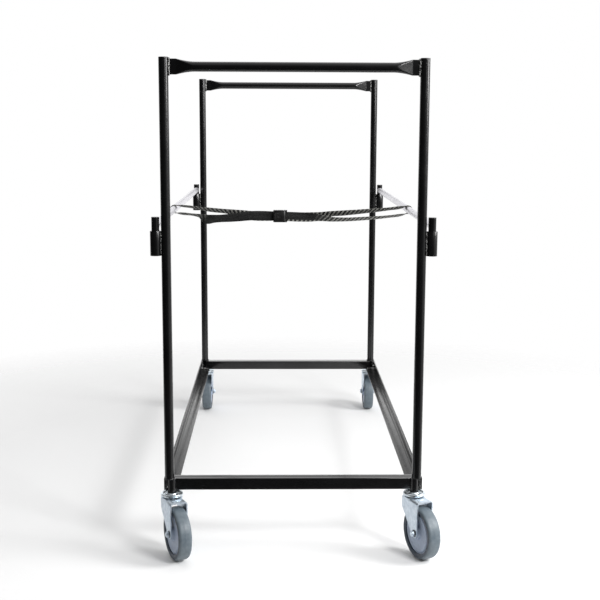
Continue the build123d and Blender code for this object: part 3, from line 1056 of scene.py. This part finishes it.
    def dress(self) -> None:
        """Gives the frame's CAD nodes their finishes."""
        for corner in Corner:
            node = f"rail_socket_{corner.label}"
            fit(eased_copy(node, f"{node}_eased", 1.4 * MM), self.body, POWDER, node)
            dress_nodes(POWDER, f"post_{corner.label}")
        dress_nodes(POWDER, "caster_bosses")
        dress_nodes(CAP, "post_caps")


# The lift-out side rails


@dataclass
class SideRail:
    """An aluminium tube with a black pin at each end.

    Args:
        side: The stand's side.
    """

    side: Side

    @property
    def body(self) -> str:
        """The CAD body that the rail is."""
        return f"rail_{self.side.label}"

    def build(self) -> None:
        """Adds a saddle where the tube meets each pin, and dresses the rail."""
        tube = extent(f"rail_tube_{self.side.label}")
        radius = tube.size[0] / 2
        for corner in Corner:
            if corner.side == self.side.value:
                self.saddle(corner, tube.centre, radius)
                dress_nodes(POWDER, f"rail_pin_{corner.label}")
        dress_nodes(ALUMINIUM, f"rail_tube_{self.side.label}")
        dress_nodes(STEEL, f"rail_rivets_{self.side.label}")

    def saddle(self, corner: Corner, centre: Array, radius: float) -> None:
        """A short collar shaped to the pin's round side, which closes the tube's end.

        Its far edge follows the pin: the distance from the pin's axis is the root of
        pin radius squared minus the sideways offset squared.

        Args:
            corner: The rail's end.
            centre: The tube's middle.
            radius: The tube's radius.
        """
        pin = extent(f"rail_pin_{corner.label}")
        pin_radius = pin.size[0] / 2
        pin_y = (pin.high[1] if corner.end > 0 else pin.low[1]) - corner.end * pin_radius
        turn = np.linspace(0, 2 * math.pi, 48, endpoint=False)
        side_step = (radius - 0.25 * MM) * np.cos(turn)
        reach = np.sqrt(np.maximum(pin_radius**2 - side_step**2, 0)) - 0.6 * MM
        share = np.linspace(0, 1, 7)[:, None]
        start = pin_radius - 0.2 * MM
        y = pin_y - corner.end * (start + share * (reach - start)[None])
        x = centre[0] + np.broadcast_to(side_step[None], y.shape)
        z = centre[2] + np.broadcast_to((radius - 0.25 * MM) * np.sin(turn)[None], y.shape)
        piece = shell(f"rail_saddle_{corner.label}", np.stack([x, y, z], axis=-1), crease=50)
        fit(piece, self.body, POWDER)


# The strap and its cam buckle


@dataclass(frozen=True)
class Knot:
    """Where a run of the strap passes.

    Args:
        across: Place across the stand, from its middle.
        height: Height of the run's middle above the strap's own level.
        twist: Degrees from lying flat; 90 is on edge.
    """

    across: float
    height: float
    twist: float


@dataclass
class Strap:
    """A closed band round both rails, its two runs twisted on edge between them.

    Args:
        width: The band's width.
        thickness: The band's thickness.
        blend_start: Distance from the stand's middle where a half starts to follow its rail;
            nothing reads it.
        blend_end: Distance where it follows its rail fully; nothing reads it.
        fade_left: Distances from the middle between which the left half's pale threads come up.
        fade_right: The same for the right half.
        strength_left: How strongly the left half's pale threads then show.
        strength_right: The same for the right half.
        front_left: Knots of the left half's front run, from the middle outwards.
        rear_left: Knots of its rear run.
        front_right: Knots of the right half's front run.
        rear_right: Knots of its rear run.
    """

    width: float = 25 * MM
    thickness: float = 1.8 * MM
    blend_start: float = 60 * MM
    blend_end: float = 270 * MM
    fade_left: tuple[float, float] = (0.225, 0.250)
    fade_right: tuple[float, float] = (0.055, 0.115)
    strength_left: float = 0.6
    strength_right: float = 0.9
    front_left: tuple[Knot, ...] = (
        Knot(0.030, -0.0005, 90),
        Knot(0.110, 0.0005, 90),
        Knot(0.160, -0.0050, 64),
        Knot(0.210, -0.0080, 66),
        Knot(0.226, -0.0090, 86),
        Knot(0.246, 0.0, 28),
        Knot(0.260, 0.0025, 19),
        Knot(0.300, 0.0065, 14),
    )
    rear_left: tuple[Knot, ...] = (
        Knot(0.030, -0.0005, 90),
        Knot(0.110, 0.0010, 88),
        Knot(0.135, 0.0050, 62),
        Knot(0.160, 0.0100, 39),
        Knot(0.220, 0.0165, 29),
        Knot(0.270, 0.0240, 18),
        Knot(0.295, 0.0265, 14),
    )
    front_right: tuple[Knot, ...] = (
        Knot(-0.030, -0.0005, 90),
        Knot(0.040, -0.0030, 85),
        Knot(0.070, -0.0040, 54),
        Knot(0.110, -0.0085, 33),
        Knot(0.135, -0.0090, 29),
        Knot(0.200, -0.0060, 25),
        Knot(0.260, -0.0010, 19),
        Knot(0.300, 0.0045, 14),
    )
    rear_right: tuple[Knot, ...] = (
        Knot(-0.030, -0.0005, 90),
        Knot(0.040, -0.0025, 85),
        Knot(0.070, 0.0, 60),
        Knot(0.110, 0.0065, 39),
        Knot(0.135, 0.0080, 38),
        Knot(0.200, 0.0135, 30),
        Knot(0.260, 0.0195, 22),
        Knot(0.300, 0.0250, 16),
    )

    def build(self) -> None:
        """Builds both halves, each running from the strap's middle round its own rail."""
        middle = extent("strap_middle")
        for side, front, rear in (
            (Side.LEFT, self.front_left, self.rear_left),
            (Side.RIGHT, self.front_right, self.rear_right),
        ):
            line, twist = self.route(side, front, rear, middle.centre)
            piece = self.band(side, line, twist)
            stands_for = [f"strap_loop_{side.label}"]
            if side is Side.LEFT:
                stands_for.append("strap_middle")
            fit(piece, None, STRAP, *stands_for)
            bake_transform(piece)

    def route(
        self, side: Side, front: tuple[Knot, ...], rear: tuple[Knot, ...], middle: Array
    ) -> tuple[Array, Array]:
        """The band's middle line: out along the front run, round the tube and back at the rear.

        Between knots every value follows a cubic through them with slopes from their
        neighbours. Round the tube the line is an arc about the tube's axis.

        Args:
            side: The stand's side.
            front: The front run's knots.
            rear: The rear run's knots.
            middle: The middle of the strap.

        Returns:
            Points of the line and the twist in radians at each.
        """
        tube = extent(f"rail_tube_{side.label}")
        tube_x, tube_z = abs(tube.centre[0]), tube.centre[2]
        radius = tube.size[0] / 2 + self.thickness / 2 + 0.25 * MM
        rise = tube_z - middle[2]
        lower = self.run(front, tube_x, -radius, rise)
        upper = self.run(rear, tube_x, radius, rise)
        angle = np.linspace(-math.pi / 2, math.pi / 2, 41)[1:-1]
        arc = np.stack([tube_x + radius * np.cos(angle), rise + radius * np.sin(angle)], axis=-1)
        x = np.concatenate([lower[:, 0], arc[:, 0], upper[::-1, 0]])
        z = np.concatenate([lower[:, 1], arc[:, 1], upper[::-1, 1]])
        twist = np.concatenate([lower[:, 2], 0 * angle, upper[::-1, 2]])
        turning = np.linspace(-1, 1, len(arc))
        depth = np.concatenate([-np.ones(len(lower)), turning, np.ones(len(upper))])
        depth = depth * np.sin(twist) ** 2
        offset = (self.thickness / 2 + 0.1 * MM) * depth
        line = np.stack([side.value * x, middle[1] + offset, middle[2] + z], axis=-1)
        return line, twist

    def run(self, knots: tuple[Knot, ...], tube_x: float, rise: float, tube_z: float) -> Array:
        """One run from the middle to where it meets the tube.

        Args:
            knots: The run's knots.
            tube_x: The tube's place across the stand.
            rise: Height of the meeting point above the tube's axis.
            tube_z: The tube's height above the strap's level.

        Returns:
            Rows of (across, height, twist in radians).
        """
        table = np.array([(k.across, k.height, math.radians(k.twist)) for k in knots])
        table = np.vstack([table, (tube_x, tube_z + rise, 0.0)])
        x = np.linspace(table[0, 0], tube_x, 260)
        slope = np.gradient(table, table[:, 0], axis=0)
        slope[-1] = (1, 0, 0)
        k = np.clip(np.searchsorted(table[:, 0], x, side="right") - 1, 0, len(table) - 2)
        gap = (table[k + 1, 0] - table[k, 0])[:, None]
        t = ((x - table[k, 0]) / gap[:, 0])[:, None]
        return (
            (2 * t**3 - 3 * t**2 + 1) * table[k]
            + (t**3 - 2 * t**2 + t) * gap * slope[k]
            + (3 * t**2 - 2 * t**3) * table[k + 1]
            + (t**3 - t**2) * gap * slope[k + 1]
        )

    def band(self, side: Side, line: Array, twist: Array) -> bpy.types.Object:
        """Sweeps the band's flat section along its line.

        The section is |u|^p by |v|^q of a circle, which gives flat faces and rolled edges.
        The width direction starts along the rail and turns towards straight down by the twist.

        Args:
            side: The stand's side.
            line: Points of the middle line.
            twist: The twist at each point.

        Returns:
            The piece, with metres along and across in its UV map.
        """
        tangent = unit(np.gradient(line, axis=0))
        flat = np.array((0.0, 1.0, 0.0)) - tangent[:, 1:2] * tangent
        flat = unit(flat)
        normal = np.cross(tangent, flat)
        sense = np.sign(normal[:, 2:3] * tangent[:, 0:1]) * -1
        turned = sense[:, 0] * twist * np.sign(tangent[:, 0])
        width_way = np.cos(turned)[:, None] * flat + np.sin(turned)[:, None] * normal
        face_way = np.cross(tangent, width_way)
        columns = 36
        turn = np.linspace(0, 2 * math.pi, columns, endpoint=False)
        u = np.sign(np.cos(turn)) * np.abs(np.cos(turn)) ** 0.75
        v = np.sign(np.sin(turn)) * np.abs(np.sin(turn)) ** 0.35
        grid = (
            line[:, None]
            + self.width / 2 * u[None, :, None] * width_way[:, None]
            + self.thickness / 2 * v[None, :, None] * face_way[:, None]
        )
        piece = shell(f"strap_{side.label}", grid, crease=70)
        length = np.concatenate([[0], np.cumsum(np.linalg.norm(np.diff(line, axis=0), axis=1))])
        log.info("strap %s half: %.4f m along its middle line", side.label, length[-1])
        self.mark(piece, side, length, u * self.width / 2, v, face_way, line)
        return piece

    def mark(
        self, piece: bpy.types.Object, side: Side, length: Array, across: Array,
        v: Array, face_way: Array, line: Array,
    ) -> None:
        """Writes the band's UV map and the strength of its pale threads.

        Args:
            piece: The band.
            side: The stand's side.
            length: Length along the middle line at each row.
            across: Place across the width at each column.
            v: Which face each column is on.
            face_way: The direction of the positive face at each row.
            line: Points of the middle line.
        """
        mesh = piece.data
        rows, columns = len(length), len(across)
        place = np.zeros((len(mesh.vertices), 2))
        outward = side.value * face_way[np.argmax(np.abs(line[:, 0])), 0]
        outer = np.sign(outward) * v[None] + 0 * length[:, None]
        way = np.where(outer > 0, 1, -1)
        grid = np.stack(np.broadcast_arrays(length[:, None], across[None] * way), axis=-1)
        place[: rows * columns] = grid.reshape(-1, 2)
        place[rows * columns] = (length[0], 0)
        place[rows * columns + 1] = (length[-1], 0)
        corner = np.zeros(len(mesh.loops), np.int32)
        mesh.loops.foreach_get("vertex_index", corner)
        layer = mesh.uv_layers.new(name="strap")
        layer.data.foreach_set("uv", place[corner].astype(np.float32).ravel())
        plain = self.plain_face(side, side.value * line[:, 0])[:, None]
        low_edge = (across[None] > 0.32 * self.width) * (side is Side.RIGHT)
        strength = np.where(outer > 0, np.maximum(plain, low_edge), 1.0)
        share = np.zeros(len(mesh.vertices), np.float32)
        share[: rows * columns] = strength.ravel()
        mesh.attributes.new("tracer", "FLOAT", "POINT").data.foreach_set("value", share)

    def plain_face(self, side: Side, away: Array) -> Array:
        """How strongly the pale threads show on the band's outer face.

        Args:
            side: The stand's side.
            away: Distance from the stand's middle, for each row.

        Returns:
            A strength from 0 to 1 for each row.
        """
        left = side is Side.LEFT
        start, end = self.fade_left if left else self.fade_right
        full = self.strength_left if left else self.strength_right
        return full * ease((away - start) / (end - start))


@dataclass
class CamBuckle:
    """The buckle's frame, pin and lever.

    Args:
        ridges: How many grip ridges the lever's thumb plate has.
        ridge_radius: Radius of one ridge.
        ridge_pitch: Distance between two ridges.
        edge: Width of the eased edges.
    """

    ridges: int = 4
    ridge_radius: float = 0.7 * MM
    ridge_pitch: float = 3.2 * MM
    edge: float = 0.6 * MM

    def build(self) -> None:
        """Builds the eased frame and lever and the lever's ridges."""
        for node, body in (("buckle_frame", "frame"), ("buckle_lever", "buckle_lever")):
            fit(eased_copy(node, f"{node}_eased", self.edge), body, BUCKLE, node)
        dress_nodes(STEEL, "buckle_pin")
        lever = extent("buckle_lever")
        half = lever.size[2] / 2 - 5 * MM
        rise = np.linspace(lever.centre[2] - half, lever.centre[2] + half, 24)
        ridges = []
        for count in range(self.ridges):
            x = lever.low[0] + 4 * MM + count * self.ridge_pitch
            path = np.stack([x + 0 * rise, lever.low[1] + 0 * rise, rise], axis=-1)
            ridges.append(bead("ridge", path, self.ridge_radius, pitch=1.0))
        fit(join("buckle_lever_ridges", ridges), "buckle_lever", BUCKLE)


# The casters


@dataclass
class Caster:
    """One swivel caster: head, fork, axle, wheel core and tyre.

    Args:
        corner: Where it stands.
        wheel_radius: The tyre's outer radius.
        tyre_half: Half the tyre's width.
        rim_radius: The tyre's inner radius.
        face_half: Half the core's width at its faces.
        hub_half: Half the core's width at its hub.
        hub_radius: The hub's radius.
        bore: The hub's inner radius.
        axle_radius: The axle bolt's radius.
        head_radius: The swivel head's outer radius.
        stem_radius: The stem's radius.
        fork_half: Half the fork's outer width.
    """

    corner: Corner
    wheel_radius: float = 62.5 * MM
    tyre_half: float = 16 * MM
    rim_radius: float = 49 * MM
    face_half: float = 13.5 * MM
    hub_half: float = 17.5 * MM
    hub_radius: float = 15 * MM
    bore: float = 5.1 * MM
    axle_radius: float = 4 * MM
    head_radius: float = 26 * MM
    stem_radius: float = 6 * MM
    fork_half: float = 21 * MM

    def __post_init__(self) -> None:
        spin = JOINTS[f"wheel_spin_{self.corner.label}"]
        self.wheel_centre = np.array(spin["pos_m"], float)
        self.axle_way = unit(np.array(spin["axis"], float))
        swivel = JOINTS[f"caster_swivel_{self.corner.label}"]
        self.swivel_foot = np.array((*swivel["pos_m"][:2], 0.0))

    def build(self) -> None:
        """Builds and dresses every piece of the caster."""
        label = self.corner.label
        swivel = f"caster_swivel_{label}"
        wheel = f"wheel_{label}"
        self.head()
        fork = eased_copy(f"caster_fork_{label}", f"fork_{label}", 0.6 * MM)
        fit(fork, swivel, ZINC, f"caster_fork_{label}")
        axle = eased_copy(f"axle_{label}", f"axle_bolt_{label}", 0.4 * MM)
        fit(axle, swivel, ZINC, f"axle_{label}")
        # dark rings that paint the shade round the axle nuts
        self.washers(swivel)
        fit(self.core(), wheel, CORE, f"wheel_core_{label}")
        fit(self.tyre(), wheel, TYRE, f"tyre_{label}")
        dress_nodes(STEEL, f"swivel_balls_{label}", f"axle_sleeve_{label}")

    def head(self) -> None:
        """The swivel head: a rolled rim round a sunk ring, a raised seat, and the kingpin."""
        label = self.corner.label
        box = extent(f"caster_head_{label}")
        top = extent("caster_bosses").low[2]
        radius = self.head_radius
        profile = rounded(
            [
                (box.low[2], 0),
                (box.low[2], 12.0 * MM),
                (box.low[2] + 2.7 * MM, 12.0 * MM),
                (box.low[2] + 2.7 * MM, 7.9 * MM),
                (top - 4.9 * MM, 7.9 * MM),
                (top - 4.9 * MM, radius - 2.5 * MM),
                (top - 6.5 * MM, radius - 2.5 * MM),
                (top - 6.5 * MM, radius),
                (top - 1.2 * MM, radius),
                (top, radius - 2.2 * MM),
                (top - 0.1 * MM, radius - 5.2 * MM),
                (top - 2.7 * MM, radius - 7.4 * MM),
                (top - 2.7 * MM, 13.2 * MM),
                (top, 11.6 * MM),
                (top, self.stem_radius),
                (box.high[2], self.stem_radius),
                (box.high[2], 0),
            ],
            0.8 * MM,
        )
        piece = lathe(f"swivel_head_{label}", profile, self.swivel_foot, UP, 96)
        fit(piece, "frame", RACE, f"caster_head_{label}")

    def washers(self, swivel: str) -> None:
        """A black ring outside each fork leg, round the axle: a dark piece that paints the shade
        round the axle nut.

        Args:
            swivel: The body that they ride on.
        """
        rings = []
        for way in (-1, 1):
            start = self.fork_half - 0.1 * MM
            profile = rounded(
                [
                    (way * start, self.axle_radius + 0.05 * MM),
                    (way * start, 8.7 * MM),
                    (way * (start + 1.1 * MM), 8.7 * MM),
                    (way * (start + 1.1 * MM), self.axle_radius + 0.05 * MM),
                ],
                0.35 * MM,
                closed=True,
            )
            rings.append(lathe("ring", profile, self.wheel_centre, self.axle_way, 64, ring=True))
        # the black rings are painted shade round each axle nut
        fit(join(f"axle_rings_{self.corner.label}", rings), swivel, CAP)

    def core(self) -> bpy.types.Object:
        """The wheel's disc: a hub, a dished face, a raised ring and a groove before the rim."""
        half = [
            (self.hub_half, self.bore),
            (self.hub_half, self.hub_radius - 1.2 * MM),
            (self.hub_half - 1.2 * MM, self.hub_radius),
            (self.face_half - 1.6 * MM, self.hub_radius + 1.6 * MM),
            (self.face_half - 2.2 * MM, self.hub_radius + 5 * MM),
            (self.face_half - 1.2 * MM, 37 * MM),
            (self.face_half - 0.1 * MM, 39.5 * MM),
            (self.face_half, 43.6 * MM),
            (self.face_half - 0.9 * MM, 44.6 * MM),
            (self.face_half - 3.0 * MM, 45.4 * MM),
            (self.face_half - 3.0 * MM, 47.4 * MM),
            (self.face_half - 2.4 * MM, self.rim_radius + 0.3 * MM),
        ]
        mirrored = [(-along, radius) for along, radius in reversed(half)]
        profile = rounded(half + mirrored, 0.8 * MM, closed=True)
        name = f"wheel_disc_{self.corner.label}"
        return lathe(name, profile, self.wheel_centre, self.axle_way, 128, ring=True)

    def tyre(self) -> bpy.types.Object:
        """The tyre: a bead against the rim, a stepped side wall, and a crowned tread."""
        half = [
            (11.2 * MM, self.rim_radius),
            (13.4 * MM, self.rim_radius - 0.2 * MM),
            (15.0 * MM, self.rim_radius + 1.3 * MM),
            (15.2 * MM, self.rim_radius + 3.6 * MM),
            (self.tyre_half, self.rim_radius + 4.4 * MM),
            (self.tyre_half, self.wheel_radius - 5.4 * MM),
            (self.tyre_half - 1.7 * MM, self.wheel_radius - 2.2 * MM),
            (self.tyre_half - 5.5 * MM, self.wheel_radius - 0.6 * MM),
            (0.8 * MM, self.wheel_radius - 0.12 * MM),
            (0.4 * MM, self.wheel_radius),
        ]
        mirrored = [(-along, radius) for along, radius in reversed(half)]
        profile = rounded(half + mirrored, 2.4 * MM, 6, closed=True)
        name = f"rubber_tyre_{self.corner.label}"
        piece = lathe(name, profile, self.wheel_centre, self.axle_way, 160, ring=True, crease=50)
        places = np.zeros(len(piece.data.vertices) * 3, np.float32)
        piece.data.vertices.foreach_get("co", places)
        arm = places.reshape(-1, 3) - self.wheel_centre
        along = arm @ self.axle_way
        radius = np.linalg.norm(arm - along[:, None] * self.axle_way, axis=1)
        # tread mask: where the tyre's colour turns paler, partly wear and dust and partly a painted
        # sheen
        tread = ease((radius - (self.wheel_radius - 6.5 * MM)) / (3.5 * MM)).astype(np.float32)
        piece.data.attributes.new("tread", "FLOAT", "POINT").data.foreach_set("value", tread)
        return piece


# The studio


@dataclass
class Studio:
    """Floor, light and camera.

    Args:
        lens: The camera's focal length in millimetres.
        sensor: The sensor's width in millimetres.
        eye: The camera's place.
        pitch: Degrees that it looks down.
        yaw: Degrees that it turns to the left.
        roll: Degrees that it leans.
        floor_radius: Radius of the floor's fully opaque part.
        floor_fade: Distance over which the floor then fades out.
        floor_front: Where the floor ends in front of the stand.
    """

    lens: float = 66.21
    sensor: float = 36.0
    eye: tuple[float, float, float] = (-0.0398, -3.1415, 1.0106)
    pitch: float = 9.196
    yaw: float = -1.234
    roll: float = 0.231
    floor_radius: float = 0.95
    floor_fade: float = 1.05
    floor_front: float = -0.90

    def build(self) -> None:
        """Sets up the camera, the floor, the backdrop light and the lamps."""
        self.camera()
        self.floor()
        self.world()
        self.lamp("key", (1.45, -2.25, 1.75), (0.0, -0.1, 0.3), (0.6, 0.6), 46)
        self.lamp("side_panel", (2.7, -1.0, 1.95), (0.0, 0.0, 0.6), (1.2, 1.9), 100)
        self.lamp("overhead", (0.2, 0.5, 3.1), (0.0, 0.1, 0.0), (2.6, 2.6), 17)
        settings = bpy.context.scene.view_settings
        settings.view_transform = "Standard"
        settings.look = "None"

    def camera(self) -> None:
        """A camera turned by yaw about the upright, then down by pitch, then by roll."""
        data = bpy.data.cameras.new("camera")
        data.lens = self.lens
        data.sensor_width = self.sensor
        data.clip_end = 100
        camera = bpy.data.objects.new("camera", data)
        bpy.context.scene.collection.objects.link(camera)
        turn = Matrix.Rotation(math.radians(self.yaw), 4, "Z")
        look = Matrix.Rotation(math.radians(90 - self.pitch), 4, "X")
        lean = Matrix.Rotation(math.radians(self.roll), 4, "Z")
        camera.matrix_world = Matrix.Translation(Vector(self.eye)) @ turn @ look @ lean
        bpy.context.scene.camera = camera

    def floor(self) -> None:
        """A pale disc on the ground: each ring of points lies at its own radius."""
        radius = self.floor_radius + self.floor_fade
        turn = np.linspace(0, 2 * math.pi, 96, endpoint=False)
        rings = np.linspace(0.02, radius, 12)[:, None]
        x, y = rings * np.cos(turn), rings * np.sin(turn)
        points = np.stack([x, y, np.full_like(x, -0.0002)], axis=-1).reshape(-1, 3)
        faces = grid_faces(12, 96, wrap=False)
        mesh = bpy.data.meshes.new("floor")
        mesh.from_pydata(points.tolist(), [], [*faces[:, ::-1].tolist(), list(range(96))])
        floor = bpy.data.objects.new("floor", mesh)
        bpy.context.scene.collection.objects.link(floor)
        mesh.materials.append(self.floor_paint())

    def floor_paint(self) -> bpy.types.Material:
        """Matt white paper with a little glow, fading out towards the disc's rim."""
        bench = Bench("floor_paper")
        grain = bench.remap(bench.noise(3 * MM, 3), 0, 1)
        bench.feed(bench.blend(grain, (0.78, 0.78, 0.78), (0.80, 0.80, 0.80)), "Base Color")
        bench.fix(Roughness=0.9, Specular_IOR_Level=0.1)
        bench.fix(Emission_Color=(1, 1, 1, 1), Emission_Strength=0.02)
        inputs = {0: bench.place((1, 1, 0))}
        away = bench.node("VectorMath", inputs, operation="LENGTH").outputs["Value"]
        rim = bench.remap(away, 1, 0, self.floor_radius, self.floor_radius + self.floor_fade)
        ahead = bench.node("SeparateXYZ", {"Vector": bench.place()}).outputs["Y"]
        front = bench.remap(ahead, 0, 1, self.floor_front - 0.06, self.floor_front + 0.06)
        opaque = bench.math("MULTIPLY", rim, front)
        bench.feed(opaque, "Alpha")
        return bench.material

    def world(self) -> None:
        """A white backdrop: bright behind the stand, above it and on its right, dim elsewhere."""
        world = bpy.data.worlds.new("backdrop")
        bpy.context.scene.world = world
        world.use_nodes = True
        nodes, links = world.node_tree.nodes, world.node_tree.links
        way = nodes.new("ShaderNodeTexCoord").outputs["Generated"]
        parts = nodes.new("ShaderNodeSeparateXYZ")
        links.new(way, parts.inputs["Vector"])
        levels = []
        glows = (("Y", 0.30, 0.85, 1.4), ("X", 0.45, 0.95, 0.60), ("Z", 0.35, 0.95, 0.65))
        dim = 0.04
        for axis, low, high, full in glows:
            level = nodes.new("ShaderNodeMapRange")
            level.interpolation_type = "SMOOTHSTEP"
            ends = {"From Min": low, "From Max": high, "To Min": dim, "To Max": full}
            for name, value in ends.items():
                level.inputs[name].default_value = value
            links.new(parts.outputs[axis], level.inputs["Value"])
            levels.append(level.outputs["Result"])
        brightest = levels[0]
        for level in levels[1:]:
            step = nodes.new("ShaderNodeMath")
            step.operation = "MAXIMUM"
            links.new(brightest, step.inputs[0])
            links.new(level, step.inputs[1])
            brightest = step.outputs["Value"]
        seen = nodes["Background"]
        links.new(brightest, seen.inputs["Color"])
        white = nodes.new("ShaderNodeBackground")
        white.inputs["Color"].default_value = (1, 1, 1, 1)
        mix = nodes.new("ShaderNodeMixShader")
        links.new(nodes.new("ShaderNodeLightPath").outputs["Is Camera Ray"], mix.inputs["Fac"])
        links.new(seen.outputs["Background"], mix.inputs[1])
        links.new(white.outputs["Background"], mix.inputs[2])
        links.new(mix.outputs["Shader"], nodes["World Output"].inputs["Surface"])

    def lamp(
        self, name: str, place: tuple[float, float, float], target: tuple[float, float, float],
        size: tuple[float, float], power: float,
    ) -> None:
        """A softbox that faces a point.

        Args:
            name: The lamp's name.
            place: Where it hangs.
            target: The point that it faces.
            size: Its width and height.
            power: Its power in watts.
        """
        data = bpy.data.lights.new(name, "AREA")
        data.shape = "RECTANGLE"
        data.size, data.size_y = size
        data.energy = power
        lamp = bpy.data.objects.new(name, data)
        lamp.location = place
        lamp.rotation_mode = "QUATERNION"
        lamp.rotation_quaternion = (Vector(target) - Vector(place)).to_track_quat("-Z", "Y")
        lamp.visible_camera = False
        bpy.context.scene.collection.objects.link(lamp)


def main() -> None:
    """Builds the stand piece by piece, then the studio."""
    logging.basicConfig(level=logging.INFO, format="%(name)s: %(message)s")
    WeldedFrame().build()
    for side in Side:
        SideRail(side).build()
    Strap().build()
    CamBuckle().build()
    for corner in Corner:
        Caster(corner).build()
    Studio().build()


if __name__ == "__main__":
    main()
